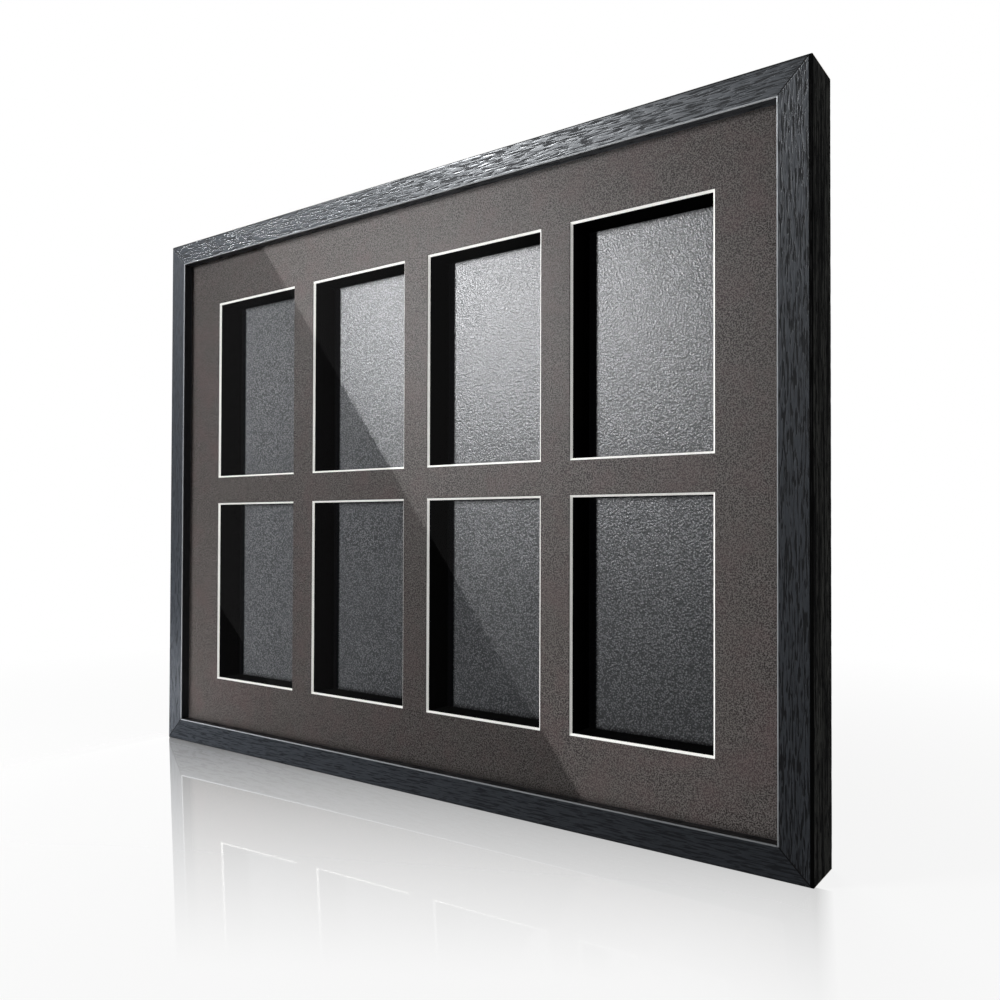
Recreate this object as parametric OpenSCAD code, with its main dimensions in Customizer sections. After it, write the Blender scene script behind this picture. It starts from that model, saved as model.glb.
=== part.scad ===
// Shadow-box frame that shows graded trading cards in slots behind a windowed mat.
// Millimetres. The frame stands on its bottom rail: X runs along that rail, Z is up,
// and the glazed front faces -Y. The origin is under the middle of the whole depth.

/* [Card slots] */
// Number of slots side by side
columns = 4; // [2:1:6]
// Number of slots one above another
rows = 2; // [1:1:4]
// Width of one slot
slot_w = 87; // [60:0.5:120]
// Height of one slot
slot_h = 138; // [90:0.5:180]
// Depth of a slot, which is the thickness of the spacer
slot_depth = 20; // [8:0.5:40]
// Width of the bar between two neighbouring slots
slot_gap = 22; // [12:0.5:40]

/* [Mat] */
// Width of mat that shows between a rail and the nearest window
mat_border = 35; // [20:0.5:80]
// Thickness of the mat's dark facing paper
mat_face_t = 0.3; // [0.2:0.05:1]
// Thickness of the mat's white core
mat_core_t = 1.2; // [0.8:0.1:3]
// How far the back edge of a mat window covers the edge of its slot
mat_reveal = 0.4; // [0:0.1:3]

/* [Rails] */
// Width of the wood beside the rebate, which is the rail's rear face
land_w = 11.4; // [9:0.2:30]
// Width of the rebate behind the lip
rebate_w = 6; // [4:0.5:12]
// Thickness of the lip in front of the glazing
lip_t = 7.2; // [4:0.2:15]
// Radius of the outer front edge
outer_edge_r = 1.7; // [0.5:0.1:4]
// Radius of the lip's edge at the sight opening
sight_edge_r = 0.6; // [0.2:0.1:2]

/* [Panels in the rebate] */
// Thickness of the clear acrylic glazing
glazing_t = 1.2; // [1:0.1:4]
// Thickness of the textured paper on the backing board
liner_t = 0.3; // [0.2:0.05:1]
// Thickness of the backing board
board_t = 2.3; // [1.5:0.1:6]
// Clearance between a panel's edge and the rebate
panel_clear = 0.8; // [0.2:0.1:2]

/* [Turn buttons] */
// Distance from the frame's end to the nearest turn button on a long rail
button_inset = 60; // [30:1:90]
// Thickness of a turn button
button_t = 1; // [0.8:0.1:2]
// Radius of the end that turns on the screw
button_r = 4.6; // [4:0.1:6]
// Radius of the tip
tip_r = 3; // [2:0.1:4]
// Distance from the screw to the end of the tip
button_reach = 15.5; // [12:0.5:24]
// Length of the tip that is bent away from the board
tip_bend_l = 4.5; // [3:0.5:7]
// Height of the bend at the end of the tip
tip_rise = 1.2; // [0.5:0.1:1.6]
// Gap between a turn button and what it turns on
button_gap = 0.2; // [0.1:0.05:0.3]
// Radial clearance between a turn button and its screw
pivot_clear = 0.05; // [0.02:0.01:0.1]

/* [Screws] */
// Radius of a screw's shank
screw_r = 1.5; // [1:0.1:2]
// Radius of a screw's head
screw_head_r = 3.2; // [2.6:0.1:4]
// Height of a screw's head
screw_head_h = 1.6; // [1.2:0.1:2.5]
// Length of a screw inside the rail
screw_depth = 13; // [8:0.5:15]
// Width of the cross slot in a screw's head
cross_slot_w = 0.8; // [0.5:0.1:1.2]

/* [Hangers] */
// Length of a sawtooth hanger
hanger_l = 45; // [36:1:60]
// Height of a sawtooth hanger
hanger_h = 9; // [7:0.5:11]
// Thickness of the hanger's steel
hanger_t = 0.9; // [0.6:0.1:1.2]
// Height of the toothed bar above the rail
hanger_rise = 1.5; // [1:0.1:2]
// Length of each flat end that is nailed down
hanger_tab_l = 9; // [7:0.5:11]
// Distance from one tooth to the next
tooth_pitch = 2; // [1.5:0.1:3]
// Depth of a tooth
tooth_depth = 1.5; // [1:0.1:2]
// Radius of a nail's shank
nail_r = 0.8; // [0.6:0.05:1]
// Radius of a nail's head
nail_head_r = 1.8; // [1.4:0.1:2.4]
// Thickness of a nail's head
nail_head_t = 0.5; // [0.4:0.1:0.8]
// Length of a nail inside the rail
nail_depth = 12; // [8:0.5:15]

/* [Mitre nails] */
// Length of each leg of a mitre nail
vnail_leg = 7; // [5:0.5:8]
// Thickness of a mitre nail
vnail_t = 0.5; // [0.4:0.1:0.8]
// How deep a mitre nail is driven into the rear of the joint
vnail_depth = 9; // [6:0.5:15]
// Distance from the outer faces to the first mitre nail of a corner
vnail_inset = 3; // [2:0.1:4]
// Distance from the first mitre nail to the second one
vnail_pitch = 4; // [3:0.1:4.5]

/* [Hidden] */
// Clearance round anything driven into the wood
wood_fit = 0.02;
// How far a cut runs past the face that it opens
over = 0.5;
$fn = 64;

rail_w = land_w + rebate_w;
mat_t = mat_face_t + mat_core_t;
panel_stack = glazing_t + mat_t + slot_depth + liner_t + board_t;
rail_depth = lip_t + panel_stack;

button_stack = button_gap + button_t + button_gap + screw_head_h;
hardware_h = max(button_stack, button_gap + button_t + tip_rise, hanger_rise + hanger_t);

// Faces from front to back
front_y = -(rail_depth + hardware_h) / 2;
glazing_y = front_y + lip_t;
mat_y = glazing_y + glazing_t;
core_y = mat_y + mat_face_t;
spacer_y = core_y + mat_core_t;
liner_y = spacer_y + slot_depth;
board_y = liner_y + liner_t;
rear_y = board_y + board_t;

// A window is the slot less the reveal, widened by the mat's 45 degree bevel
pitch_x = slot_w + slot_gap;
pitch_z = slot_h + slot_gap;
bevel_gain = 2 * (mat_t - mat_reveal);
window_w = slot_w + bevel_gain;
window_h = slot_h + bevel_gain;
sight_w = (columns - 1) * pitch_x + window_w + 2 * mat_border;
sight_h = (rows - 1) * pitch_z + window_h + 2 * mat_border;
frame_w = sight_w + 2 * rail_w;
frame_h = sight_h + 2 * rail_w;
panel_w = sight_w + 2 * (rebate_w - panel_clear);
panel_h = sight_h + 2 * (rebate_w - panel_clear);

slot_centres = [
    for (i = [0 : columns - 1], j = [0 : rows - 1])
        [(i - (columns - 1) / 2) * pitch_x, frame_h / 2 + (j - (rows - 1) / 2) * pitch_z]
];

// Turn buttons: name, place of the screw along X and Z, and the turn that points the arm inwards
button_x = frame_w / 2 - button_inset;
edge_x = frame_w / 2 - land_w / 2;
low_z = land_w / 2;
high_z = frame_h - land_w / 2;
BUTTONS = [
    ["turn_button_top_left", -button_x, high_z, 0],
    ["turn_button_top_centre", 0, high_z, 0],
    ["turn_button_top_right", button_x, high_z, 0],
    ["turn_button_bottom_left", -button_x, low_z, 180],
    ["turn_button_bottom_centre", 0, low_z, 180],
    ["turn_button_bottom_right", button_x, low_z, 180],
    ["turn_button_left", -edge_x, frame_h / 2, -90],
    ["turn_button_right", edge_x, frame_h / 2, 90]
];

// Hangers sit halfway between the middle turn button and the end ones
hanger_x = button_x / 2;
nail_x = (hanger_l - hanger_tab_l) / 2;
HANGERS = [["hanger_left", -hanger_x], ["hanger_right", hanger_x]];

// Extrudes an outline drawn in X and Z from the face y0 back to the face y1
module between(y0, y1) {
    translate([0, y1, 0]) rotate([90, 0, 0]) linear_extrude(y1 - y0) children();
}

// Extrudes an outline drawn in Y and Z along X, evenly to both sides
module along_x(length) {
    rotate([90, 0, 90]) linear_extrude(length, center = true) children();
}

// What is left of a square corner outside its rounding, with the corner at the origin
module corner_waste(r) {
    difference() {
        translate([-over, -over]) square(r + over);
        translate([r, r]) circle(r);
    }
}

// Section of a rail: the first coordinate runs back from the front face, the second inwards
module rail_section() {
    difference() {
        square([rail_depth, rail_w]);
        translate([lip_t, land_w]) square([panel_stack + over, rebate_w + over]);
        corner_waste(outer_edge_r);
        translate([0, rail_w]) mirror([0, 1]) corner_waste(sight_edge_r);
    }
}

// A rail lying like the bottom one, mitred at both ends, with its outer face at the origin
module mitred_rail(length) {
    intersection() {
        along_x(length) rail_section();
        between(-over, rail_depth + over) polygon([
            [-length / 2, 0], [length / 2, 0],
            [length / 2 - rail_w, rail_w], [rail_w - length / 2, rail_w]
        ]);
    }
}

// A round pin from the rear face of the frame down to a depth in the wood
module driven(x, z, r, depth) {
    translate([x, rear_y - depth, z]) rotate([-90, 0, 0]) cylinder(r = r, h = depth);
}

// Every hole and slot that the fasteners need in the rails
module fastener_holes() {
    for (b = BUTTONS) driven(b[1], b[2], screw_r + wood_fit, screw_depth + wood_fit);
    for (h = HANGERS, side = [-1, 1])
        driven(h[1] + side * nail_x, high_z, nail_r + wood_fit, nail_depth + wood_fit);
    every_mitre_nail(wood_fit);
}

module drilled() {
    color([0.17, 0.17, 0.18]) difference() {
        children();
        fastener_holes();
    }
}

module rail_bottom() {
    drilled() translate([0, front_y, 0]) mitred_rail(frame_w);
}

module rail_top() {
    drilled() translate([0, front_y, frame_h]) mirror([0, 0, 1]) mitred_rail(frame_w);
}

module rail_left() {
    drilled() translate([-frame_w / 2, front_y, frame_h / 2]) rotate([0, 90, 0])
        mitred_rail(frame_h);
}

module rail_right() {
    drilled() translate([frame_w / 2, front_y, frame_h / 2]) rotate([0, -90, 0])
        mitred_rail(frame_h);
}

// A flat sheet that fills the rebate between two faces
module panel(y0, y1) {
    between(y0, y1) translate([-panel_w / 2, (frame_h - panel_h) / 2])
        square([panel_w, panel_h]);
}

module glazing() {
    color([0.85, 0.9, 0.92, 0.3]) panel(glazing_y, mat_y);
}

// A window's cut through the mat: its sides slope in at 45 degrees from front to back
module bevelled_window() {
    reach = mat_t + over;
    half_w = window_w / 2;
    half_h = window_h / 2;
    intersection() {
        linear_extrude(2 * window_h, center = true) polygon([
            [-half_w - over, -over], [half_w + over, -over],
            [half_w - reach, reach], [reach - half_w, reach]
        ]);
        along_x(2 * window_w) polygon([
            [-over, -half_h - over], [-over, half_h + over],
            [reach, half_h - reach], [reach, reach - half_h]
        ]);
    }
}

// One layer of the mat, with its share of the windows' bevels
module mat_layer(y0, y1) {
    difference() {
        panel(y0, y1);
        for (c = slot_centres) translate([c[0], mat_y, c[1]]) bevelled_window();
    }
}

module mat_face() {
    color([0.29, 0.27, 0.26]) mat_layer(mat_y, core_y);
}

module mat_core() {
    color([0.93, 0.92, 0.89]) mat_layer(core_y, spacer_y);
}

module card_spacer() {
    color([0.05, 0.05, 0.05]) difference() {
        panel(spacer_y, liner_y);
        between(spacer_y - over, liner_y + over) for (c = slot_centres)
            translate(c) square([slot_w, slot_h], center = true);
    }
}

module backing_liner() {
    color([0.3, 0.3, 0.3]) panel(liner_y, board_y);
}

module backing_board() {
    color([0.55, 0.42, 0.3]) panel(board_y, rear_y);
}

// Outline of a turn button: two round ends and the four-sided arm whose sides touch both
module button_ends() {
    circle(button_r);
    translate([0, tip_r - button_reach]) circle(tip_r);
}

module button_arm() {
    tip = button_reach - tip_r;
    a = acos((button_r - tip_r) / tip);
    polygon([
        [button_r * sin(a), -button_r * cos(a)],
        [tip_r * sin(a), -tip - tip_r * cos(a)],
        [-tip_r * sin(a), -tip - tip_r * cos(a)],
        [-button_r * sin(a), -button_r * cos(a)]
    ]);
}

// Side view of a turn button: flat, with the tip bent back as a finger hold
module button_bend() {
    bend = tip_bend_l - button_reach;
    top = button_r + over;
    polygon([
        [0, top], [0, bend], [tip_rise, -button_reach],
        [tip_rise + button_t, -button_reach], [button_t, bend], [button_t, top]
    ]);
}

// A turn button with its screw hole at the origin and its arm pointing down
module turn_button() {
    color([0.62, 0.6, 0.55]) difference() {
        intersection() {
            union() {
                between(-over, hardware_h) button_ends();
                between(-over, hardware_h) button_arm();
            }
            along_x(4 * button_r) button_bend();
        }
        translate([0, -over, 0]) rotate([-90, 0, 0])
            cylinder(r = screw_r + pivot_clear, h = hardware_h);
    }
}

module placed_button(b) {
    translate([b[1], rear_y + button_gap, b[2]]) rotate([0, b[3], 0]) turn_button();
}

// Half section of a screw, from its point at the bottom to its pan head
module screw_section() {
    head_y = screw_depth + button_stack - screw_head_h;
    edge_r = screw_head_h / 2;
    polygon([[0, 0], [screw_r, 2 * screw_r], [screw_r, head_y], [0, head_y]]);
    translate([0, head_y]) {
        square([screw_head_r, screw_head_h - edge_r]);
        square([screw_head_r - edge_r, screw_head_h]);
        translate([screw_head_r - edge_r, screw_head_h - edge_r]) circle(edge_r);
    }
}

module screw() {
    top = screw_depth + button_stack;
    slot_l = 1.2 * screw_head_r;
    difference() {
        rotate_extrude() screw_section();
        for (turn = [0, 90]) rotate(turn)
            translate([-slot_l / 2, -cross_slot_w / 2, top - screw_head_h / 2])
                cube([slot_l, cross_slot_w, screw_head_h]);
    }
}

module turn_button_screws() {
    color([0.7, 0.69, 0.66]) for (b = BUTTONS)
        translate([b[1], rear_y - screw_depth, b[2]]) rotate([-90, 0, 0]) screw();
}

// Top view of a hanger's strip: two flat ends and a raised bar between them
module hanger_strip() {
    end = hanger_l / 2;
    foot = end - hanger_tab_l;
    bar = foot - hanger_rise;
    function path(y, grow) = [
        [-end, y], [-foot - grow, y], [-bar - grow, y + hanger_rise],
        [bar + grow, y + hanger_rise], [foot + grow, y], [end, y]
    ];
    lower = path(0, 0);
    upper = path(hanger_t, hanger_t / 2);
    polygon(concat(lower, [for (i = [len(upper) - 1 : -1 : 0]) upper[i]]));
}

// A sawtooth hanger centred on the origin, teeth down, flat on the plane y = 0
module hanger() {
    r = hanger_h / 2;
    teeth = floor((hanger_l - 2 * hanger_tab_l - 2 * hanger_rise) / tooth_pitch);
    color([0.66, 0.65, 0.62]) difference() {
        intersection() {
            linear_extrude(hanger_h, center = true) hanger_strip();
            between(-over, hardware_h + over) {
                square([hanger_l - hanger_h, hanger_h], center = true);
                for (side = [-1, 1]) translate([side * (hanger_l / 2 - r), 0]) circle(r);
            }
        }
        between(-over, hardware_h + over) for (i = [1 : teeth])
            translate([(i - (teeth + 1) / 2) * tooth_pitch, -r]) polygon([
                [-tooth_pitch / 2, 0], [-tooth_pitch / 2, -over], [tooth_pitch / 2, -over],
                [tooth_pitch / 2, 0], [0, tooth_depth]
            ]);
        for (side = [-1, 1]) translate([side * nail_x, -over, 0]) rotate([-90, 0, 0])
            cylinder(r = nail_r + wood_fit, h = hanger_t + 2 * over);
    }
}

module placed_hanger(h) {
    translate([h[1], rear_y, high_z]) hanger();
}

module hanger_nails() {
    color([0.7, 0.69, 0.66]) for (h = HANGERS, side = [-1, 1]) {
        x = h[1] + side * nail_x;
        translate([x, rear_y - nail_depth, high_z]) rotate([-90, 0, 0]) {
            cylinder(r1 = 0.2, r2 = nail_r, h = 2 * nail_r);
            translate([0, 0, 2 * nail_r])
                cylinder(r = nail_r, h = nail_depth + hanger_t - 2 * nail_r);
            translate([0, 0, nail_depth + hanger_t]) cylinder(r = nail_head_r, h = nail_head_t);
        }
    }
}

// One mitre nail, bent square, with its corner at the origin and its legs along +X and +Z
module mitre_nail(fit) {
    thick = vnail_t + 2 * fit;
    long = vnail_leg + 2 * fit;
    between(rear_y - vnail_depth - fit, rear_y) translate([-fit, -fit]) {
        square([long, thick]);
        square([thick, long]);
    }
}

// Two mitre nails in each corner, flush with the rear face and across the joint
module every_mitre_nail(fit) {
    for (sx = [0, 1], sz = [0, 1], i = [0, 1])
        translate([0, 0, frame_h / 2]) mirror([sx, 0, 0]) mirror([0, 0, sz])
            translate([
                vnail_inset + i * vnail_pitch - frame_w / 2, 0,
                vnail_inset + i * vnail_pitch - frame_h / 2
            ])
                mitre_nail(fit);
}

module mitre_nails() {
    color([0.6, 0.6, 0.6]) every_mitre_nail(0);
}

rail_top();
rail_bottom();
rail_left();
rail_right();
glazing();
mat_face();
mat_core();
card_spacer();
backing_liner();
backing_board();
for (b = BUTTONS) placed_button(b);
turn_button_screws();
for (h = HANGERS) placed_hanger(h);
hanger_nails();
mitre_nails();
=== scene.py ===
"""Looks, light and camera for a shadow-box frame with eight card windows.

Metres, in the part's own frame: X runs along the bottom rail, Z is up, the glazed front faces -Y.
"""
import math

import bmesh
import bpy
import numpy as np
from mathutils import Matrix, Vector


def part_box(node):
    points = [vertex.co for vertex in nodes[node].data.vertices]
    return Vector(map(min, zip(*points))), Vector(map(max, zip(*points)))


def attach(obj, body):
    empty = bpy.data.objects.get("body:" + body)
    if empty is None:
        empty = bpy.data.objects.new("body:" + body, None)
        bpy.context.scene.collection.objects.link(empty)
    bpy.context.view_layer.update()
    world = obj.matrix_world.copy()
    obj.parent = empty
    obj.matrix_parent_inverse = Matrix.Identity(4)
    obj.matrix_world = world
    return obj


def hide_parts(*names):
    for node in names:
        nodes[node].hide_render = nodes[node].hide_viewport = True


MM = 0.001

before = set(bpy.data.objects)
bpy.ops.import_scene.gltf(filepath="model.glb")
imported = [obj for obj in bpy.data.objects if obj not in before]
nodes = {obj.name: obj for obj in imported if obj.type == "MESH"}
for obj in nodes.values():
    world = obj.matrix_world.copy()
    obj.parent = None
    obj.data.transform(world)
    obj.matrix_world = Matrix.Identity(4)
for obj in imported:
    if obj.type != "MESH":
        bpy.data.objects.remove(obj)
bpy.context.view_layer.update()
scene = bpy.context.scene


# Node trees

def new_tree(name):
    """An empty material called name, and its node tree."""
    material = bpy.data.materials.new(name)
    material.use_nodes = True
    material.node_tree.nodes.clear()
    return material, material.node_tree


def add(tree, kind, values=None, **settings):
    """Adds a shader node.

    Each value is set on the input of that name or number, or linked to it if it is a socket.
    """
    node = tree.nodes.new("ShaderNode" + kind)
    for key, setting in settings.items():
        setattr(node, key, setting)
    for key, value in (values or {}).items():
        if isinstance(value, bpy.types.NodeSocket):
            tree.links.new(value, node.inputs[key])
        else:
            node.inputs[key].default_value = value
    return node


def noise(tree, vector, scale, detail=2.0, roughness=0.5, distortion=0.0):
    """Noise from 0 to 1 over vector, where scale is cells a metre."""
    values = {"Vector": vector, "Scale": scale, "Detail": detail, "Roughness": roughness}
    values["Distortion"] = distortion
    return add(tree, "TexNoise", values).outputs[0]


def ramp(tree, value, low, high, to_low=0.0, to_high=1.0):
    """Carries value from low..high to to_low..to_high, and holds it there."""
    values = {"Value": value, "From Min": low, "From Max": high}
    values.update({"To Min": to_low, "To Max": to_high})
    return add(tree, "MapRange", values).outputs[0]


def math_node(tree, operation, first, second):
    """The result of one sum on two numbers or sockets."""
    return add(tree, "Math", {0: first, 1: second}, operation=operation).outputs[0]


def blend_colour(tree, share, first, second):
    """first where share is 0 and second where it is 1."""
    values = {0: share, 6: first, 7: second}
    return add(tree, "Mix", values, data_type="RGBA").outputs[2]


def stretched(tree, vector, scale):
    """vector with each axis scaled by its own factor."""
    return add(tree, "Mapping", {"Vector": vector, "Scale": scale}).outputs[0]


def bump(tree, height, distance, strength):
    """A normal bent by height, where distance is how deep a height of 1 is."""
    values = {"Height": height, "Distance": distance, "Strength": strength}
    return add(tree, "Bump", values).outputs[0]


def object_place(tree):
    """The point's place in the part's frame, since every object sits at the origin."""
    return add(tree, "TexCoord").outputs["Object"]


def attribute(tree, name, output="Fac"):
    """What the mesh stores on its vertices under name."""
    return add(tree, "Attribute", attribute_name=name).outputs[output]


def principled(tree, colour, rough, normal):
    return add(tree, "BsdfPrincipled", {"Base Color": colour, "Roughness": rough, "Normal": normal})


def vary_specular(tree, shader, plain, value):
    """Links the specular level to value, and leaves plain on the socket for whatever drops the link."""
    shader.inputs["Specular IOR Level"].default_value = plain
    tree.links.new(value, shader.inputs["Specular IOR Level"])


def finish_material(tree, surface):
    add(tree, "OutputMaterial", {"Surface": surface})


def rgb(r, g, b):
    return (r, g, b, 1.0)


WHITE = rgb(1, 1, 1)


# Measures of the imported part, read from it or repeated from its source

bottom_low, bottom_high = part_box("rail_bottom")
FRONT_Y = bottom_low.y
REAR_Y = bottom_high.y
RAIL_W = bottom_high.z - bottom_low.z
LONG = bottom_high.x - bottom_low.x
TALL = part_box("rail_left")[1].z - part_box("rail_left")[0].z
GLAZING_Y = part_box("glazing")[0].y
REBATE_W = 6.0 * MM
LAND_W = RAIL_W - REBATE_W
SLOT_X = 54.5 * MM
SLOT_Z = 80.0 * MM
SLOT_MID_Z = TALL / 2
SLOT_HALF_W = 43.5 * MM
SLOT_HALF_H = 69.0 * MM

# How far painted shade reaches in from the slots' edges, the painted shadow from their left walls, and
# painted shade from the lip
SLOT_SHADE_REACH = 4.5 * MM
SLOT_SHADE = 5.5 * MM
SLOT_SHADE_BLUR = 1.0 * MM
MAT_SHADE_REACH = 5.0 * MM


# Materials. The film's grain is given in cells a metre along and across it

FINE_CELLS = (150, 2400, 1)
DASH_CELLS = (72, 1250, 1)
STREAK_CELLS = (12, 270, 1)


def film_material():
    """Embossed black film with an open wood grain round the rails; painted shade on its outer edge and lip, a
    painted highlight on its sight edge.
    """
    material, tree = new_tree("embossed_film")
    lay = attribute(tree, "lay", "Vector")
    pore = attribute(tree, "pore")
    shade_band = attribute(tree, "painted_shade_band")
    highlight_band = attribute(tree, "sight_highlight")
    strength = attribute(tree, "grain_strength")
    seam = attribute(tree, "seam")
    streaked = attribute(tree, "streaked")
    fine = noise(tree, stretched(tree, lay, FINE_CELLS), 1, 3, 0.6, 0.6)
    dashes = noise(tree, stretched(tree, lay, DASH_CELLS), 1, 2, 0.5, 0.6)
    dashes = math_node(tree, "ADD", dashes, math_node(tree, "MULTIPLY", pore, 0.17))
    marks = math_node(tree, "MULTIPLY", ramp(tree, dashes, 0.548, 0.590), strength)
    marks = math_node(tree, "MAXIMUM", marks, seam)
    streak = ramp(tree, noise(tree, stretched(tree, lay, STREAK_CELLS), 1, 2), 0.45, 0.58)
    streak = math_node(tree, "MULTIPLY", streak, streaked)
    fine_share = ramp(tree, fine, 0.35, 0.75)
    base = blend_colour(tree, fine_share, rgb(0.018, 0.020, 0.024), rgb(0.034, 0.037, 0.043))
    side_share = math_node(tree, "MULTIPLY", streaked, 0.7)
    base = blend_colour(tree, side_share, base, rgb(0.058, 0.058, 0.050))
    worn = blend_colour(tree, streak, base, rgb(0.004, 0.004, 0.004))
    grained = blend_colour(tree, marks, worn, rgb(0.003, 0.003, 0.0034))
    # Painted shade: the rounded outer edge and the lip are darkened, by a set amount on each rail
    edge_shaded = blend_colour(tree, shade_band, grained, rgb(0.003, 0.003, 0.003))
    # Painted highlight: the rounded sight edge is coloured light grey
    colour = blend_colour(tree, highlight_band, edge_shaded, rgb(0.20, 0.205, 0.21))
    gloss = ramp(tree, marks, 0.0, 0.8, 0.34, 0.75)
    gloss = math_node(tree, "ADD", gloss, ramp(tree, fine, 0.3, 0.7, -0.04, 0.04))
    height = math_node(tree, "SUBTRACT", math_node(tree, "MULTIPLY", fine, 0.4), marks)
    normal = bump(tree, height, 0.00008, 0.7)
    shader = principled(tree, colour, gloss, normal)
    # Grain marks and the painted shade lower the specular
    dull = math_node(tree, "MAXIMUM", math_node(tree, "MULTIPLY", marks, 0.9), shade_band)
    vary_specular(tree, shader, 0.4, ramp(tree, dull, 0.0, 1.0, 0.6, 0.04))
    finish_material(tree, shader.outputs[0])
    return material


def raw_board_material():
    """Bare fibreboard at the back of a rail."""
    material, tree = new_tree("raw_fibreboard")
    place = object_place(tree)
    fibre = noise(tree, place, 1400, 3, 0.7, 0.4)
    cloud = noise(tree, place, 90, 3)
    share = ramp(tree, fibre, 0.3, 0.7)
    colour = blend_colour(tree, share, rgb(0.22, 0.135, 0.075), rgb(0.40, 0.27, 0.16))
    share = ramp(tree, cloud, 0.3, 0.8, 0.0, 0.5)
    colour = blend_colour(tree, share, colour, rgb(0.30, 0.19, 0.11))
    normal = bump(tree, fibre, 0.00012, 0.6)
    rough = ramp(tree, cloud, 0.2, 0.8, 0.78, 0.92)
    shader = principled(tree, colour, rough, normal)
    shader.inputs["Specular IOR Level"].default_value = 0.3
    finish_material(tree, shader.outputs[0])
    return material


def mat_paper_material():
    """Brown-grey facing paper with a fine mottled tooth, and painted shade towards the lip."""
    material, tree = new_tree("mat_paper")
    place = object_place(tree)
    tooth = noise(tree, place, 1300, 1, 0.6)
    blush = noise(tree, place, 60, 3, 0.6)
    cloud = noise(tree, place, 22, 2)
    share = ramp(tree, tooth, 0.395, 0.605)
    colour = blend_colour(tree, share, rgb(0.022, 0.019, 0.018), rgb(0.106, 0.094, 0.090))
    share = ramp(tree, blush, 0.45, 0.75, 0.0, 0.6)
    colour = blend_colour(tree, share, colour, rgb(0.082, 0.056, 0.056))
    share = ramp(tree, cloud, 0.35, 0.75, 0.0, 0.35)
    colour = blend_colour(tree, share, colour, rgb(0.064, 0.059, 0.054))
    # Painted shade: the mat darkens towards the lip
    axes = add(tree, "SeparateXYZ", {0: place}).outputs
    beside = math_node(tree, "ABSOLUTE", axes["X"], 0.0)
    beside = math_node(tree, "SUBTRACT", LONG / 2 - RAIL_W, beside)
    height = math_node(tree, "ABSOLUTE", math_node(tree, "SUBTRACT", axes["Z"], TALL / 2), 0.0)
    height = math_node(tree, "SUBTRACT", TALL / 2 - RAIL_W, height)
    painted_shade = ramp(tree, math_node(tree, "MINIMUM", beside, height), 0.0, MAT_SHADE_REACH, 0.75, 0.0)
    share = math_node(tree, "MULTIPLY", painted_shade, painted_shade)
    colour = blend_colour(tree, share, colour, rgb(0.008, 0.007, 0.007))
    normal = bump(tree, tooth, 0.00022, 0.8)
    rough = ramp(tree, tooth, 0.3, 0.7, 0.42, 0.54)
    shader = principled(tree, colour, rough, normal)
    vary_specular(tree, shader, 0.2, ramp(tree, tooth, 0.40, 0.60, 0.12, 0.29))
    finish_material(tree, shader.outputs[0])
    return material


def core_material():
    """White mat core, cut on the bevel, with faint fibres."""
    material, tree = new_tree("mat_core_white")
    place = object_place(tree)
    fibre = noise(tree, place, 1800, 3, 0.6)
    share = ramp(tree, fibre, 0.3, 0.7)
    colour = blend_colour(tree, share, rgb(0.80, 0.79, 0.76), rgb(0.90, 0.89, 0.86))
    normal = bump(tree, fibre, 0.00004, 0.5)
    rough = ramp(tree, fibre, 0.3, 0.7, 0.75, 0.9)
    shader = principled(tree, colour, rough, normal)
    shader.inputs["Specular IOR Level"].default_value = 0.3
    finish_material(tree, shader.outputs[0])
    return material


def foam_material():
    """Dense black foam with small closed cells."""
    material, tree = new_tree("black_foam")
    place = object_place(tree)
    cells = add(tree, "TexVoronoi", {"Vector": place, "Scale": 1600.0}).outputs["Distance"]
    share = ramp(tree, cells, 0.1, 0.6)
    colour = blend_colour(tree, share, rgb(0.0005, 0.0005, 0.0006), rgb(0.0014, 0.0014, 0.0016))
    normal = bump(tree, cells, 0.00006, 0.6)
    rough = ramp(tree, cells, 0.1, 0.6, 0.8, 0.95)
    shader = principled(tree, colour, rough, normal)
    shader.inputs["Specular IOR Level"].default_value = 0.05
    finish_material(tree, shader.outputs[0])
    return material


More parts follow.
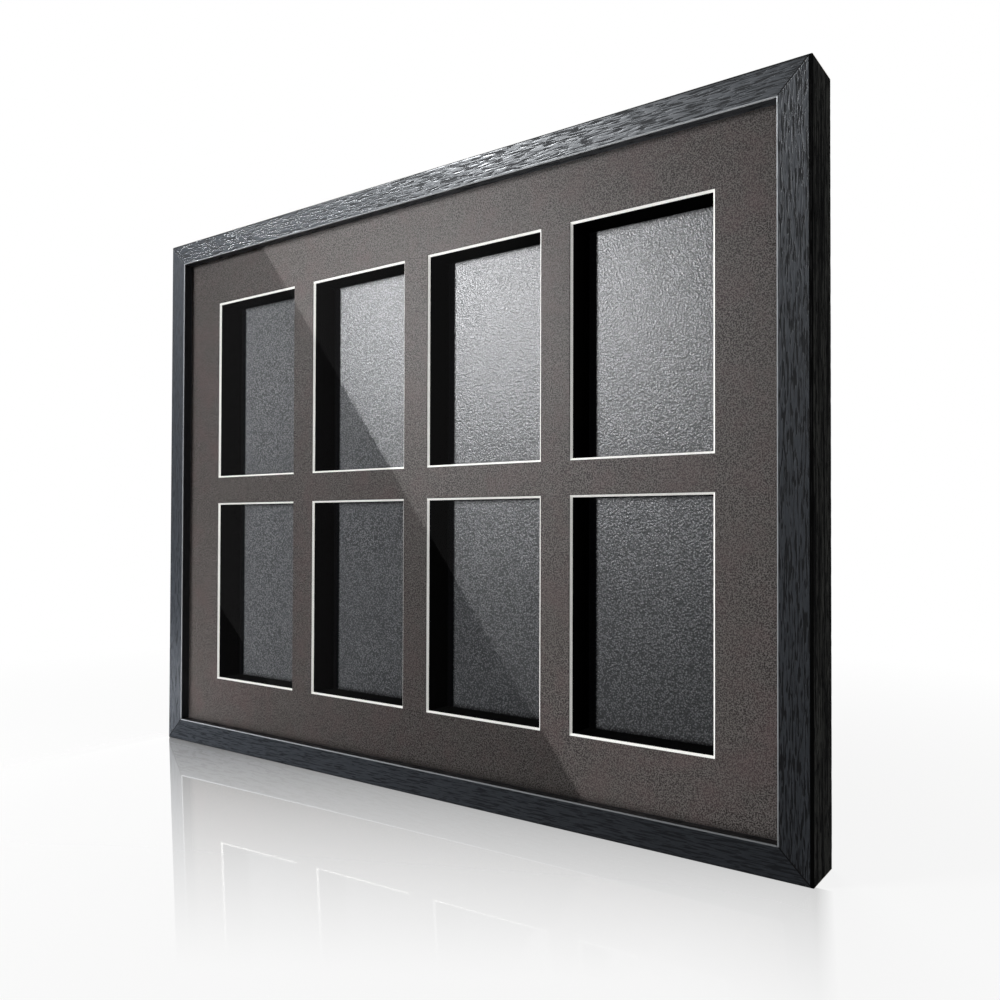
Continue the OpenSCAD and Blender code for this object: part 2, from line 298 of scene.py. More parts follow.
def liner_material():
    """Dark paper embossed with a fine leather grain, with painted shade along the slot walls."""
    material, tree = new_tree("leather_grain_paper")
    place = object_place(tree)
    warp = add(tree, "TexNoise", {"Vector": place, "Scale": 600.0, "Detail": 2.0}).outputs["Color"]
    bent = add(tree, "MixRGB", {0: 0.0010, 1: place, 2: warp}, blend_type="ADD").outputs[0]
    pebbles = add(tree, "TexVoronoi", {"Vector": bent, "Scale": 960.0}, feature="SMOOTH_F1")
    pebbles.inputs["Smoothness"].default_value = 0.3
    hills = pebbles.outputs["Distance"]
    grit = noise(tree, place, 2200, 2, 0.6)
    waves = noise(tree, place, 260, 2, 0.5, 0.5)
    mixed = math_node(tree, "SUBTRACT", hills, math_node(tree, "MULTIPLY", grit, 0.35))
    share = ramp(tree, mixed, -0.02, 0.36)
    colour = blend_colour(tree, share, rgb(0.120, 0.123, 0.128), rgb(0.022, 0.023, 0.025))
    # How far inside its slot a point lies, from the distances to the slots' centres
    axes = add(tree, "SeparateXYZ", {0: place}).outputs
    reach = []
    for axis, centres, half in (
        ("X", (0.0, 2 * SLOT_X, SLOT_X), SLOT_HALF_W),
        ("Z", (SLOT_MID_Z, SLOT_Z), SLOT_HALF_H),
    ):
        out = axes[axis]
        for centre in centres:
            out = math_node(tree, "ABSOLUTE", math_node(tree, "SUBTRACT", out, centre), 0.0)
        reach.append(math_node(tree, "SUBTRACT", half, out))
    # Painted shade: the liner darkens towards the slot walls
    painted_shade = ramp(tree, math_node(tree, "MINIMUM", reach[0], reach[1]), 0.0, SLOT_SHADE_REACH, 0.9, 0.0)
    painted_shade = math_node(tree, "MULTIPLY", painted_shade, painted_shade)
    # Painted shadow of each slot's left wall, on the band beside it
    pitch = 2 * SLOT_X
    from_left = math_node(tree, "ADD", axes["X"], 1.5 * pitch + SLOT_HALF_W)
    from_left = math_node(tree, "MODULO", from_left, pitch)
    band = (SLOT_SHADE - SLOT_SHADE_BLUR, SLOT_SHADE + SLOT_SHADE_BLUR)
    painted_shade = math_node(tree, "MAXIMUM", painted_shade, ramp(tree, from_left, *band, 1.0, 0.0))
    colour = blend_colour(tree, painted_shade, colour, rgb(0.0009, 0.0009, 0.0011))
    height = math_node(tree, "SUBTRACT", math_node(tree, "MULTIPLY", waves, 0.2), mixed)
    normal = bump(tree, height, 0.00031, 0.64)
    rough = ramp(tree, hills, 0.1, 0.7, 0.36, 0.42)
    shader = principled(tree, colour, rough, normal)
    shine = ramp(tree, mixed, -0.02, 0.36, 1.0, 0.64)
    # The painted shade and shadow also take away the specular
    shine = math_node(tree, "MULTIPLY", shine, ramp(tree, painted_shade, 0.0, 0.8, 1.0, 0.0))
    vary_specular(tree, shader, 0.8, shine)
    finish_material(tree, shader.outputs[0])
    return material


def hardboard_material():
    """Brown hardboard with pressed fibres, for the removable back."""
    material, tree = new_tree("brown_hardboard")
    place = object_place(tree)
    fibre = noise(tree, stretched(tree, place, (420, 420, 900)), 1, 4, 0.7, 1.2)
    flecks = ramp(tree, noise(tree, place, 700, 2, 0.6, 0.8), 0.62, 0.75)
    cloud = noise(tree, place, 14, 3)
    share = ramp(tree, fibre, 0.3, 0.7)
    colour = blend_colour(tree, share, rgb(0.165, 0.098, 0.052), rgb(0.29, 0.185, 0.105))
    share = ramp(tree, cloud, 0.3, 0.7, 0.0, 0.5)
    colour = blend_colour(tree, share, colour, rgb(0.21, 0.13, 0.072))
    colour = blend_colour(tree, flecks, colour, rgb(0.10, 0.058, 0.03))
    normal = bump(tree, fibre, 0.0001, 0.6)
    rough = ramp(tree, fibre, 0.3, 0.7, 0.6, 0.8)
    shader = principled(tree, colour, rough, normal)
    shader.inputs["Specular IOR Level"].default_value = 0.4
    finish_material(tree, shader.outputs[0])
    return material


def acrylic_material():
    """Clear acrylic. Lamps and bounced light pass it straight, so that they reach what is behind."""
    material, tree = new_tree("clear_acrylic")
    path = add(tree, "LightPath").outputs
    clear = add(tree, "BsdfTransparent").outputs[0]
    glass = add(tree, "BsdfPrincipled")
    glass.inputs["Base Color"].default_value = rgb(0.985, 0.99, 0.99)
    glass.inputs["Roughness"].default_value = 0.0
    glass.inputs["IOR"].default_value = 1.49
    glass.inputs["Transmission Weight"].default_value = 1.0
    mirrored = math_node(tree, "SUBTRACT", path["Is Glossy Ray"], path["Is Transmission Ray"])
    bounced = math_node(tree, "MAXIMUM", path["Is Diffuse Ray"], mirrored)
    surface = add(tree, "MixShader", {0: bounced, 1: glass.outputs[0], 2: clear}).outputs[0]
    surface = add(tree, "MixShader", {0: path["Is Shadow Ray"], 1: surface, 2: clear}).outputs[0]
    finish_material(tree, surface)
    return material


def steel_material(name, dark, light, rough_low, rough_high):
    """Plated steel with faint rolling lines and stains."""
    material, tree = new_tree(name)
    place = object_place(tree)
    lines = noise(tree, stretched(tree, place, (300, 300, 4200)), 1, 2, 0.6)
    stains = noise(tree, place, 380, 3, 0.6)
    colour = blend_colour(tree, ramp(tree, stains, 0.3, 0.7), rgb(*dark), rgb(*light))
    rough = ramp(tree, stains, 0.3, 0.7, rough_low, rough_high)
    normal = bump(tree, lines, 0.00002, 0.4)
    shader = principled(tree, colour, rough, normal)
    shader.inputs["Metallic"].default_value = 1.0
    finish_material(tree, shader.outputs[0])
    return material


# Rails: a mitred moulding whose grain is pressed into the mesh

OUTER_R = 1.7 * MM
SIGHT_R = 0.6 * MM
OUTER_STEPS = 8
SIGHT_STEPS = 6
# A rail's rear faces lie this far in, clear of the glazing, the hardware and the nails
SKIN = 0.05 * MM

# Spacing of the rows round the section, and of the stations along the rail
OUTER_SPACING = 0.42 * MM
FACE_SPACING = 0.30 * MM
LIP_SPACING = 0.7 * MM
LIP_BACK_SPACING = 2 * MM
REBATE_SPACING = 4 * MM
REAR_SPACING = 1.5 * MM
STATION_STEP = 1.1 * MM
MITRE_STATIONS_MM = (0, 0.3, 0.65, 1.2)
FIRST_INNER_STATION = 2.2 * MM

# Pressed grain: depths, and cells along and across it
PORE_DEPTH = 0.085 * MM
RIPPLE_DEPTH = 0.012 * MM
WARP = 1.5 * MM
SMALL_WARP = 0.5 * MM
WARP_CELL = (38 * MM, 10 * MM)
SMALL_WARP_CELL = (11 * MM, 4 * MM)
CROWD_CELL = (30 * MM, 5 * MM)
LONG_PORE_CELL = (9 * MM, 0.95 * MM)
SHORT_PORE_CELL = (5 * MM, 0.75 * MM)
RIPPLE_CELL = (18 * MM, 1.8 * MM)
PLAIN_BY_EDGE = 0.9 * MM
# How dark the painted shade makes the lip
LIP_SHADE = 0.68

# The seam at a mitre: its groove, and how far from the joint it is dark and plain again
SEAM_DEPTH = 0.06 * MM
SEAM_W = 0.62 * MM
SEAM_DARK = 0.25 * MM
SEAM_PLAIN = 0.6 * MM

SHARP_ANGLE = math.radians(48)
OUTER, EDGE, FACE, SIGHT, LIP, BARE = range(6)
NOISE_CELLS = 256


def gradient_noise(u, v, cell, seed):
    """Smooth noise from about -1 to 1, in cells of the length and width that cell gives."""
    angle = np.random.default_rng(seed).uniform(0, 2 * math.pi, (NOISE_CELLS, NOISE_CELLS))
    u = u / cell[0]
    v = v / cell[1]
    iu = np.floor(u).astype(int)
    iv = np.floor(v).astype(int)
    fu = u - iu
    fv = v - iv

    def corner(du, dv):
        a = angle[(iu + du) % NOISE_CELLS, (iv + dv) % NOISE_CELLS]
        return np.cos(a) * (fu - du) + np.sin(a) * (fv - dv)

    su = fu * fu * fu * (fu * (6 * fu - 15) + 10)
    sv = fv * fv * fv * (fv * (6 * fv - 15) + 10)
    low = corner(0, 0) + su * (corner(1, 0) - corner(0, 0))
    high = corner(0, 1) + su * (corner(1, 1) - corner(0, 1))
    return 1.5 * (low + sv * (high - low))


def smooth_step(low, high, value):
    """0 below low, 1 above high and a smooth rise between them."""
    t = np.clip((value - low) / (high - low), 0, 1)
    return t * t * (3 - 2 * t)


def rail_section():
    """Rows round a rail's section: depth y, distance inwards, normal (y, inwards), zone and length so far."""
    rows = []

    def straight(start, end, step, normal, zone):
        start, end = np.array(start), np.array(end)
        count = max(1, round(float(np.linalg.norm(end - start)) / step))
        for i in range(count):
            rows.append((*(start + (end - start) * i / count), *normal, zone))

    back = REAR_Y - SKIN
    lip_back = GLAZING_Y - SKIN
    straight((back, 0), (FRONT_Y + OUTER_R, 0), OUTER_SPACING, (0, -1), OUTER)
    for i in range(OUTER_STEPS):
        a = math.pi / 2 * (1 - i / OUTER_STEPS)
        normal = (-math.cos(a), -math.sin(a))
        y = FRONT_Y + OUTER_R + OUTER_R * normal[0]
        rows.append((y, OUTER_R + OUTER_R * normal[1], *normal, EDGE))
    straight((FRONT_Y, OUTER_R), (FRONT_Y, RAIL_W - SIGHT_R), FACE_SPACING, (-1, 0), FACE)
    for i in range(SIGHT_STEPS):
        a = math.pi / 2 * i / SIGHT_STEPS
        normal = (-math.cos(a), math.sin(a))
        y = FRONT_Y + SIGHT_R + SIGHT_R * normal[0]
        rows.append((y, RAIL_W - SIGHT_R + SIGHT_R * normal[1], *normal, SIGHT))
    straight((FRONT_Y + SIGHT_R, RAIL_W), (lip_back, RAIL_W), LIP_SPACING, (0, 1), LIP)
    straight((lip_back, RAIL_W), (lip_back, LAND_W), LIP_BACK_SPACING, (1, 0), BARE)
    straight((lip_back, LAND_W), (back, LAND_W), REBATE_SPACING, (0, 1), BARE)
    straight((back, LAND_W), (back, 0), REAR_SPACING, (1, 0), BARE)
    rows = np.array(rows, float)
    steps = np.linalg.norm(np.diff(rows[:, :2], axis=0), axis=1)
    return rows, np.concatenate([[0], np.cumsum(steps)])


def store(mesh, name, values, kind="FLOAT", key="value"):
    """Keeps one value for each vertex under name, for the film's material."""
    layer = mesh.attributes.new(name, kind, "POINT")
    layer.data.foreach_set(key, np.asarray(values).astype(np.float32).ravel())


def rail_mesh(name, length, seed, grain, edge_shade, film, board):
    """A rail lying like the bottom one: X along it, and Z inwards from its outer face.

    grain is how strong its grain is, and edge_shade how dark the painted shade on its rounded edge is, both
    from 0 to 1.
    """
    rows, around = rail_section()
    count = len(rows)
    inset = rows[:, 1]
    ends = np.array(MITRE_STATIONS_MM) * MM
    count_inner = round(length / STATION_STEP)
    inner = np.linspace(FIRST_INNER_STATION, length - FIRST_INNER_STATION, count_inner)
    stations = np.concatenate([ends, inner, length - ends[::-1]])
    # Each row runs from mitre to mitre, and keeps the stations' spacing near both of its ends
    usable = length - 2 * inset
    share = stations / length
    x = -length / 2 + inset[:, None] + usable[:, None] * share[None, :]
    from_end = np.minimum(stations, length - stations)[None, :] * np.ones((count, 1))

    u = x + 3.0 * seed
    v = around[:, None] + 0 * x
    warp = WARP * gradient_noise(u, v, WARP_CELL, seed)
    warp += SMALL_WARP * gradient_noise(u, v, SMALL_WARP_CELL, seed + 1)
    bent = v + warp
    crowd = gradient_noise(u, bent, CROWD_CELL, seed + 2)
    long_pores = gradient_noise(u, bent, LONG_PORE_CELL, seed + 3)
    short_pores = gradient_noise(u, bent, SHORT_PORE_CELL, seed + 4)
    long_pores = smooth_step(0.10 - 0.16 * crowd, 0.50, long_pores)
    pore = np.maximum(long_pores, 0.7 * smooth_step(0.20, 0.60, short_pores))
    ripple = gradient_noise(u, bent, RIPPLE_CELL, seed + 5)

    zone = rows[:, 4]
    weight = np.select([zone == OUTER, zone == FACE, zone == LIP], [1.0, 1.0, 0.1], 0.0)
    near_edge = np.ones(count)
    for i in range(count):
        if zone[i] in (OUTER, FACE):
            band = np.abs(around - around[i])[zone == EDGE].min()
            near_edge[i] = min(1.0, band / PLAIN_BY_EDGE)
    weight = (weight * near_edge)[:, None]
    pore = pore * weight * grain
    wrapped = (zone != BARE)[:, None]
    seam = np.clip(1 - from_end / SEAM_W, 0, 1) * wrapped
    depth = PORE_DEPTH * pore + RIPPLE_DEPTH * (ripple + 1) * weight + SEAM_DEPTH * seam

    y = rows[:, 0, None] - rows[:, 2, None] * depth
    z = rows[:, 1, None] - rows[:, 3, None] * depth
    verts = np.stack([x, y, z], axis=2).reshape(-1, 3)
    columns = len(stations)
    faces = []
    raw = []
    for i in range(count):
        k = (i + 1) % count
        for j in range(columns - 1):
            here = i * columns + j
            there = k * columns + j
            faces.append((here, here + 1, there + 1, there))
        raw += [int(zone[i] == BARE)] * (columns - 1)
    for end in (0, columns - 1):
        faces.append(tuple(i * columns + end for i in range(count)))
        raw.append(1)
    mesh = bpy.data.meshes.new(name)
    mesh.from_pydata(verts, [], faces)
    mesh.materials.append(film)
    mesh.materials.append(board)
    mesh.polygons.foreach_set("material_index", raw)
    store(mesh, "lay", np.stack([u, v, 0 * u + seed], axis=2), "FLOAT_VECTOR", "vector")
    store(mesh, "pore", pore)
    store(mesh, "seam", smooth_step(SEAM_PLAIN, SEAM_DARK, from_end) * wrapped)
    # Painted shade: how dark the film makes the rounded outer edge and the lip
    dark = np.select([zone == EDGE, zone == LIP], [edge_shade, LIP_SHADE], 0.0)
    store(mesh, "painted_shade_band", np.repeat(dark, columns))
    store(mesh, "grain_strength", np.full(len(verts), grain))
    store(mesh, "streaked", np.repeat(np.where(zone == OUTER, 1.0, 0.1 * grain), columns))
    # The sight edge, which the film colours with a painted highlight
    store(mesh, "sight_highlight", np.repeat(zone == SIGHT, columns))
    bm = bmesh.new()
    bm.from_mesh(mesh)
    bmesh.ops.recalc_face_normals(bm, faces=bm.faces)
    bm.to_mesh(mesh)
    bm.free()
    mesh.shade_smooth()
    mesh.set_sharp_from_angle(angle=SHARP_ANGLE)
    return mesh


def place_rail(name, length, seed, grain, edge_shade, turn, offset):
    """Adds a rail as its own object, turned into place, and lets it stand for the plain one."""
    mesh = rail_mesh(name + "_moulding", length, seed, grain, edge_shade, film, board)
    mesh.transform(Matrix.Translation(offset) @ Matrix.Rotation(turn, 4, "Y"))
    rail = bpy.data.objects.new(name + "_moulding", mesh)
    scene.collection.objects.link(rail)
    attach(rail, "frame")
    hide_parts(name)
    return rail


film = film_material()
board = raw_board_material()
# After the seed come each rail's grain strength and the painted shade on its rounded edge
rail_bottom = place_rail("rail_bottom", LONG, 11, 0.55, 0.2, 0, (0, 0, 0))
rail_top = place_rail("rail_top", LONG, 23, 0.82, 0.8, math.pi, (0, 0, TALL))
rail_left = place_rail("rail_left", TALL, 37, 0.55, 0.6, math.pi / 2, (-LONG / 2, 0, TALL / 2))
rail_right = place_rail("rail_right", TALL, 41, 0.90, 1.0, -math.pi / 2, (LONG / 2, 0, TALL / 2))
rails = [rail_top, rail_bottom, rail_left, rail_right]


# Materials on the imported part's own nodes

CLEARANCE = 0.03 * MM


def dress(name, material):
    """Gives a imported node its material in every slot."""
    for slot in nodes[name].material_slots:
        slot.material = material


zinc = steel_material("zinc_plate", (0.46, 0.45, 0.42), (0.60, 0.59, 0.55), 0.28, 0.42)
brass = steel_material("yellow_zinc_plate", (0.52, 0.42, 0.22), (0.66, 0.55, 0.32), 0.25, 0.38)
bright = steel_material("bright_steel", (0.52, 0.52, 0.51), (0.66, 0.66, 0.65), 0.22, 0.34)
dress("glazing", acrylic_material())
# The glazing touches the mat exactly, so it is drawn in a little
clearance = nodes["glazing"].modifiers.new("clearance", "DISPLACE")
clearance.strength = -CLEARANCE
clearance.mid_level = 0.0
dress("mat_face", mat_paper_material())
dress("mat_core", core_material())
dress("card_spacer", foam_material())
dress("backing_liner", liner_material())
dress("backing_board", hardboard_material())
for node_name in nodes:
    if node_name == "turn_button_screws":
        dress(node_name, bright)
    elif node_name.startswith("turn_button"):
        dress(node_name, zinc)
    elif node_name in ("hanger_left", "hanger_right"):
        dress(node_name, brass)
    elif node_name in ("hanger_nails", "mitre_nails"):
        dress(node_name, bright)


# Camera at the photograph's place and angle

CAMERA_PLACE = Vector((0.3863, -0.4517, 0.1729))
CAMERA_YAW = math.radians(35.656)
CAMERA_PITCH = math.radians(0.789)
CAMERA_ROLL = math.radians(0.174)
CAMERA_LENS_MM = 31.796
CAMERA_SHIFT_Y = 0.01617

forward = Vector((
    -math.sin(CAMERA_YAW) * math.cos(CAMERA_PITCH),
    math.cos(CAMERA_YAW) * math.cos(CAMERA_PITCH),
    math.sin(CAMERA_PITCH),
))
side = Vector((math.cos(CAMERA_YAW), math.sin(CAMERA_YAW), 0))
above = side.cross(forward)
right = side * math.cos(CAMERA_ROLL) + above * math.sin(CAMERA_ROLL)
top = above * math.cos(CAMERA_ROLL) - side * math.sin(CAMERA_ROLL)
camera_data = bpy.data.cameras.new("camera")
camera_data.sensor_width = 36.0
camera_data.lens = CAMERA_LENS_MM
camera_data.shift_y = CAMERA_SHIFT_Y
camera_data.clip_start = 0.01
camera_data.clip_end = 50.0
camera = bpy.data.objects.new("camera", camera_data)
scene.collection.objects.link(camera)
turned = Matrix((right, top, -forward)).transposed().to_4x4()
camera.matrix_world = Matrix.Translation(CAMERA_PLACE) @ turned
scene.camera = camera


# Light

COOL = (0.94, 0.97, 1)
FAINTLY_COOL = (0.975, 0.98, 1)


def softbox(name, place, target, width, height, power, colour=(1, 1, 1), glossy=True):
    """A rectangular lamp at place, turned towards target. Without glossy it gives no specular light."""
    data = bpy.data.lights.new(name, "AREA")
    data.shape = "RECTANGLE"
    data.size = width
    data.size_y = height
    data.energy = power
    data.color = colour
    lamp = bpy.data.objects.new(name, data)
    scene.collection.objects.link(lamp)
    lamp.location = place
    lamp.rotation_euler = (Vector(target) - Vector(place)).to_track_quat("-Z", "Y").to_euler()
    lamp.visible_camera = False
    lamp.visible_glossy = glossy
    return lamp


def link_light(lamp, kind, state, members):
    """Includes or excludes members among what a lamp lights (receiver) or is shaded by (blocker)."""
    group = bpy.data.collections.new(lamp.name + "_" + kind)
    for member in members:
        group.objects.link(member)
    for entry in group.collection_objects:
        entry.light_linking.link_state = state
    setattr(lamp.light_linking, kind + "_collection", group)


def light_only(lamp, members):
    link_light(lamp, "receiver", "INCLUDE", members)


def shine_through(lamp, members):
    link_light(lamp, "blocker", "EXCLUDE", members)


# The edge of the sheen runs through these two points on the pane, as the camera sees it
SHEEN_EDGE = (Vector((-0.1556, GLAZING_Y, 0.3896)), Vector((0.1303, GLAZING_Y, 0.0159)))
SHEEN_SOFTNESS = 0.002


def masked_lamp(name, place, power, masks):
    """A point lamp that lights only one side of each plane through it, where the plane's normal points."""
    data = bpy.data.lights.new(name, "POINT")
    data.energy = power
    data.shadow_soft_size = 0.0
    lamp = bpy.data.objects.new(name, data)
    scene.collection.objects.link(lamp)
    lamp.location = place
    data.use_nodes = True
    tree = data.node_tree
    tree.nodes.clear()
    outwards = add(tree, "NewGeometry").outputs["Normal"]
    share = None
    for normal in masks:
        side_of = add(tree, "VectorMath", {0: outwards, 1: normal}, operation="DOT_PRODUCT")
        part = ramp(tree, side_of.outputs["Value"], -SHEEN_SOFTNESS, SHEEN_SOFTNESS)
        share = part if share is None else math_node(tree, "MULTIPLY", share, part)
    glow = add(tree, "Emission", {"Color": WHITE, "Strength": share}).outputs[0]
    add(tree, "OutputLight", {"Surface": glow})
    return lamp


def sheen_lamp(name, place, power, lit, depth):
    """A small lamp that lights only what lies right of the sheen's edge, on the plane y = depth."""
    ends = []
    for end in SHEEN_EDGE:
        further = (depth - CAMERA_PLACE.y) / (end.y - CAMERA_PLACE.y)
        ends.append(CAMERA_PLACE + (end - CAMERA_PLACE) * further)
    across = (ends[0] - place).cross(ends[1] - place).normalized()
    if across.x < 0:
        across = -across
    lamp = masked_lamp(name, place, power, [across])
    light_only(lamp, lit)
    shine_through(lamp, in_front)
    return lamp


mat_face = nodes["mat_face"]
mat_core = nodes["mat_core"]
liner = nodes["backing_liner"]
slot_walls = [mat_face, mat_core, nodes["card_spacer"]]
in_front = rails + slot_walls + [nodes["glazing"]]
MAT_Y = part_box("mat_face")[0].y
LINER_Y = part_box("backing_liner")[0].y
KEY_PLACE = Vector((-0.386, -0.632, 0.496))
LINER_SHEEN_PLACE = KEY_PLACE + Vector((-0.005, 0, 0.066))
MIDDLE = (0, 0, 0.22)

key = softbox("key", KEY_PLACE, MIDDLE, 0.22, 0.22, 5.6)
link_light(key, "receiver", "EXCLUDE", rails + [nodes["glazing"], liner])
shine_through(key, slot_walls)
liner_key = softbox("liner_key", (-0.45, -0.40, 0.40), MIDDLE, 0.2, 0.2, 10.4, glossy=False)
light_only(liner_key, [liner])
shine_through(liner_key, in_front)
sheen_lamp("mat_sheen", KEY_PLACE, 14.0, [mat_face, mat_core], MAT_Y)
liner_sheen = sheen_lamp("liner_sheen", LINER_SHEEN_PLACE, 45.5, [liner], LINER_Y)
liner_sheen.visible_diffuse = False
liner_sheen.data.color = FAINTLY_COOL

# The rails' lamp skims their front, and is flagged off their top and left sides
RAIL_KEY_PLACE = Vector((-0.43, -0.42, 0.93))
top_edge = Vector((0, FRONT_Y, TALL)) - RAIL_KEY_PLACE
left_edge = Vector((-LONG / 2, FRONT_Y, 0)) - RAIL_KEY_PLACE
top_flag = top_edge.cross(Vector((-1, 0, 0))).normalized()
left_flag = left_edge.cross(Vector((0, 0, -1))).normalized()
inwards = Vector((0, FRONT_Y, TALL / 2)) - RAIL_KEY_PLACE
flags = [flag if flag.dot(inwards) > 0 else -flag for flag in (top_flag, left_flag)]
rail_key = masked_lamp("rail_key", RAIL_KEY_PLACE, 100.0, flags)
rail_key.data.color = COOL
light_only(rail_key, [rail_top, rail_left, rail_right])
rail_low = softbox("rail_low", (-0.6, -0.4, 0.1), (0, 0, 0.1), 0.2, 0.2, 9.8, COOL, glossy=False)
light_only(rail_low, [rail_bottom])

# Small lamps for the lower corners, and one that lights the top rail's lip from below
CORNER = (-0.31, -0.06, 0.03)
corner_fill = softbox("corner_fill", CORNER, (-0.25, 0, 0.03), 0.05, 0.05, 0.2, COOL, glossy=False)
light_only(corner_fill, [rail_left])
low_right = sheen_lamp("low_right", Vector((0.16, -0.2, 0.04)), 0.55, [mat_face], MAT_Y)
low_right.visible_glossy = False
LOW_LEFT = (-0.33, -0.16, 0.02)
low_left = softbox("low_left", LOW_LEFT, (-0.17, 0, 0.06), 0.06, 0.06, 0.5, glossy=False)
light_only(low_left, [rail_left, mat_face, liner])
shine_through(low_left, in_front)
lip_y = (FRONT_Y + GLAZING_Y) / 2
under_lip = (0.12, lip_y, 0.1)
lip_fill = softbox("lip_fill", under_lip, (0.12, lip_y, TALL), 0.04, 0.04, 2.2, glossy=False)
light_only(lip_fill, [rail_top])

bevel_fill = softbox("bevel_fill", (0.1, -1.3, 0.05), (0, 0, 0.2), 0.5, 0.5, 12.0)
light_only(bevel_fill, [mat_core])
side_fill = softbox("side_fill", (1.5, -0.5, 0.6), (0.26, 0, 0.2), 0.8, 0.8, 6.5)
light_only(side_fill, rails)
metal_names = ("turn_button", "hanger", "mitre_nails")
hardware = [node for name, node in nodes.items() if name.startswith(metal_names)]
hardware_glow = softbox("hardware_glow", (0, 1.6, 0.3), (0, 0, 0.3), 6.0, 3.0, 27.0)
light_only(hardware_glow, hardware)
softbox("rear", (-0.7, 1.3, 1.1), (0, 0, 0.2), 0.8, 0.6, 14)


# World: white as the camera sees it, dim for what it lights, and dimmer still in reflections

SKY_TINT = rgb(0.97, 0.98, 1)
SKY_DIFFUSE = 0.06
SKY_GLOSSY = 0.02

world = bpy.data.worlds.new("studio")
scene.world = world
world.use_nodes = True
tree = world.node_tree
tree.nodes.clear()
path = add(tree, "LightPath").outputs
white = add(tree, "Background", {"Color": WHITE, "Strength": 1.0}).outputs[0]
ambient = add(tree, "Background", {"Color": SKY_TINT, "Strength": SKY_DIFFUSE}).outputs[0]
dark = add(tree, "Background", {"Color": SKY_TINT, "Strength": SKY_GLOSSY}).outputs[0]
shown = math_node(tree, "MAXIMUM", path["Is Camera Ray"], path["Is Transmission Ray"])
lit = add(tree, "MixShader", {0: path["Is Glossy Ray"], 1: ambient, 2: dark}).outputs[0]
sky = add(tree, "MixShader", {0: shown, 1: lit, 2: white}).outputs[0]
add(tree, "OutputWorld", {"Surface": sky})


# Floor and backdrop

def sheet_object(name, corners, material):
    """A flat four-cornered piece of the studio, which isn't part of the object."""
    mesh = bpy.data.meshes.new(name)
    mesh.from_pydata([tuple(c) for c in corners], [], [(0, 1, 2, 3)])
    mesh.materials.append(material)
    made = bpy.data.objects.new(name, mesh)
    scene.collection.objects.link(made)
    return made


# The photographed reflection is drawn out downwards, as in a floor that leans away from the camera
MIRROR_LEAN = Vector((-0.055, 0.010, 1.0)).normalized()
# How far it reaches from the frame and how strong it is, near the left end and the right end
MIRROR_REACH = (0.34, 0.13)
MIRROR_STRENGTH = (0.80, 0.30)


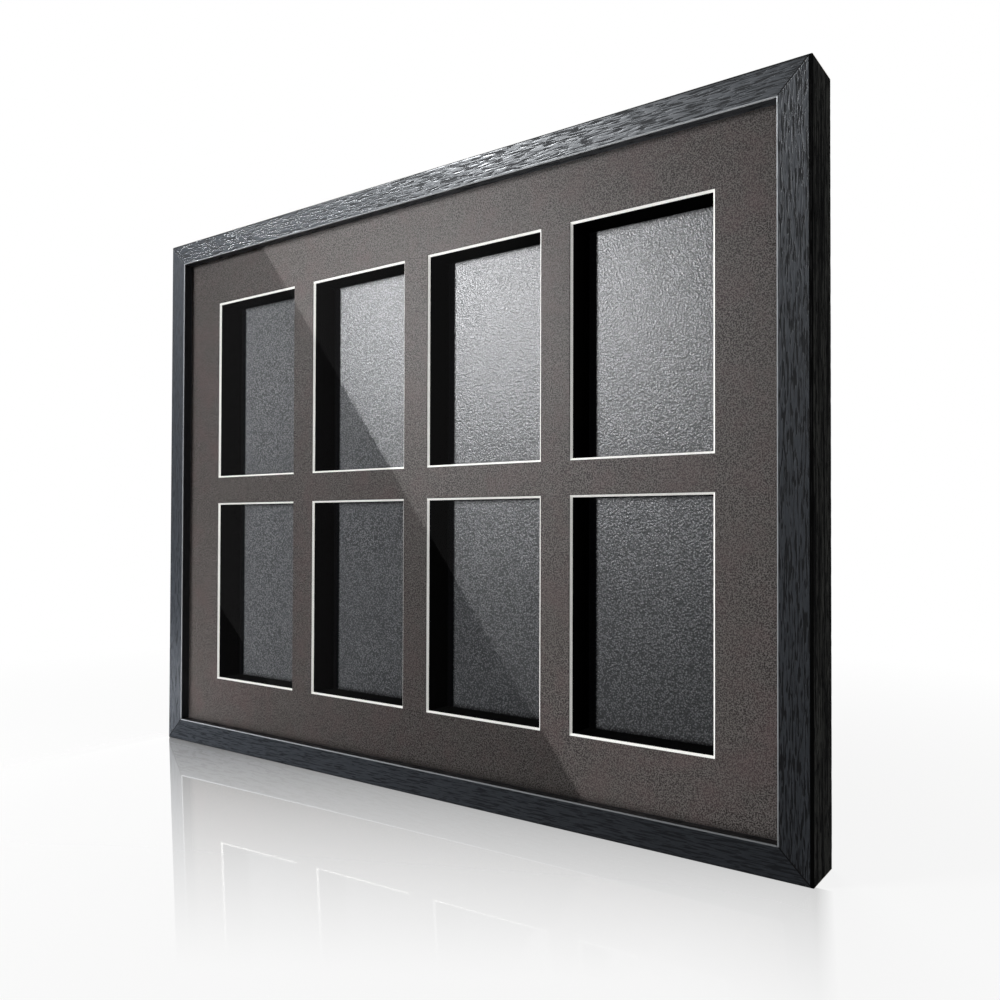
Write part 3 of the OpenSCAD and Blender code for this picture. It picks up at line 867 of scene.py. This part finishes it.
def floor_material():
    """Pale floor that keeps a soft shadow and mirrors the frame, less with distance in front of it."""
    material, tree = new_tree("pale_floor")
    path = add(tree, "LightPath").outputs
    place = add(tree, "NewGeometry").outputs["Position"]
    axes = add(tree, "SeparateXYZ", {0: place}).outputs
    # How strongly the floor mirrors: most at the bottom rail, nothing behind or beside the frame
    away = math_node(tree, "SUBTRACT", FRONT_Y, axes["Y"])
    run = math_node(tree, "DIVIDE", away, ramp(tree, axes["X"], -0.1, 0.23, *MIRROR_REACH))
    gloss = math_node(tree, "POWER", ramp(tree, run, 0.0, 1.0, 1.0, 0.0), 1.3)
    gloss = math_node(tree, "MULTIPLY", gloss, ramp(tree, away, -0.004, -0.003, 0.0, 1.0))
    gloss = math_node(tree, "MULTIPLY", gloss, ramp(tree, axes["X"], -0.2, 0.25, *MIRROR_STRENGTH))
    past_end = math_node(tree, "SUBTRACT", axes["X"], math_node(tree, "MULTIPLY", away, 0.29))
    gloss = math_node(tree, "MULTIPLY", gloss, ramp(tree, past_end, 0.262, 0.27, 1.0, 0.0))
    gloss = math_node(tree, "MULTIPLY", gloss, ramp(tree, axes["X"], -0.29, -0.262, 0.0, 1.0))
    # Seen from above it mirrors less, as a polished floor does
    facing = add(tree, "LayerWeight", {"Blend": 0.5}).outputs["Facing"]
    gloss = math_node(tree, "MULTIPLY", gloss, ramp(tree, facing, 0.15, 0.5))
    reach = add(tree, "VectorMath", {0: place}, operation="LENGTH").outputs["Value"]
    pale = add(tree, "BsdfDiffuse", {"Color": rgb(0.86, 0.86, 0.85)}).outputs[0]
    glow = add(tree, "Emission", {"Color": WHITE, "Strength": 1.0}).outputs[0]
    seen = math_node(tree, "MAXIMUM", path["Is Camera Ray"], path["Is Glossy Ray"])
    seen = math_node(tree, "MAXIMUM", seen, path["Is Transmission Ray"])
    # The shadow shows near the frame, and the floor is plain white further off
    share = math_node(tree, "MULTIPLY", seen, ramp(tree, reach, 0.2, 0.8, 0.87, 1.0))
    base = add(tree, "MixShader", {0: share, 1: pale, 2: glow}).outputs[0]
    lean = add(tree, "CombineXYZ", dict(enumerate(MIRROR_LEAN))).outputs[0]
    mirror = add(tree, "BsdfGlossy", {"Color": WHITE, "Roughness": 0.02, "Normal": lean}).outputs[0]
    surface = add(tree, "MixShader", {0: gloss, 1: base, 2: mirror}).outputs[0]
    finish_material(tree, surface)
    return material


def glowing_card(name, corners, material, tree, strength):
    """A glowing card that only shows in reflections."""
    glow = add(tree, "Emission", {"Color": WHITE, "Strength": strength}).outputs[0]
    finish_material(tree, glow)
    card = sheet_object(name, corners, material)
    card.visible_camera = False
    card.visible_diffuse = False
    card.visible_transmission = False
    card.visible_shadow = False


def upright_corners(centre, facing, width, height):
    """The corners of an upright rectangle round centre that faces along facing."""
    facing = Vector(facing).normalized()
    across = facing.cross(Vector((0, 0, 1))).normalized()
    rise = across.cross(facing)
    centre = Vector(centre)
    return [
        centre + across * sx * width / 2 + rise * sz * height / 2
        for sx, sz in ((-1, -1), (1, -1), (1, 1), (-1, 1))
    ]


FLOOR_REACH = 6.0
floor_corners = [
    (-FLOOR_REACH, -FLOOR_REACH, 0),
    (FLOOR_REACH, -FLOOR_REACH, 0),
    (FLOOR_REACH, FLOOR_REACH, 0),
    (-FLOOR_REACH, FLOOR_REACH, 0),
]
floor = sheet_object("floor", floor_corners, floor_material())
floor.visible_glossy = False
shine_through(hardware_glow, [floor])

# A white card behind the frame, which keeps the floor's mirror white there
backdrop_corners = upright_corners((-2.36, 1.26, 1.2), (0.64, -0.76, 0), 5.5, 2.6)
glowing_card("backdrop", backdrop_corners, *new_tree("backdrop"), 1.0)

# A dim card that the glazing mirrors, cut off along one straight slanting edge
glow_corners = [(-0.524, -1.6, -0.9), (-2.437, -1.6, 1.6), (1.0, -1.6, 1.6), (1.0, -1.6, -0.9)]
glow_material, glow_tree = new_tree("glow_card")
across_card = add(glow_tree, "SeparateXYZ", {0: object_place(glow_tree)}).outputs["X"]
glow_share = ramp(glow_tree, across_card, -1.15, -0.80, 0.1, 0.0)
glowing_card("glow_card", glow_corners, glow_material, glow_tree, glow_share)


scene.view_settings.view_transform = "Standard"
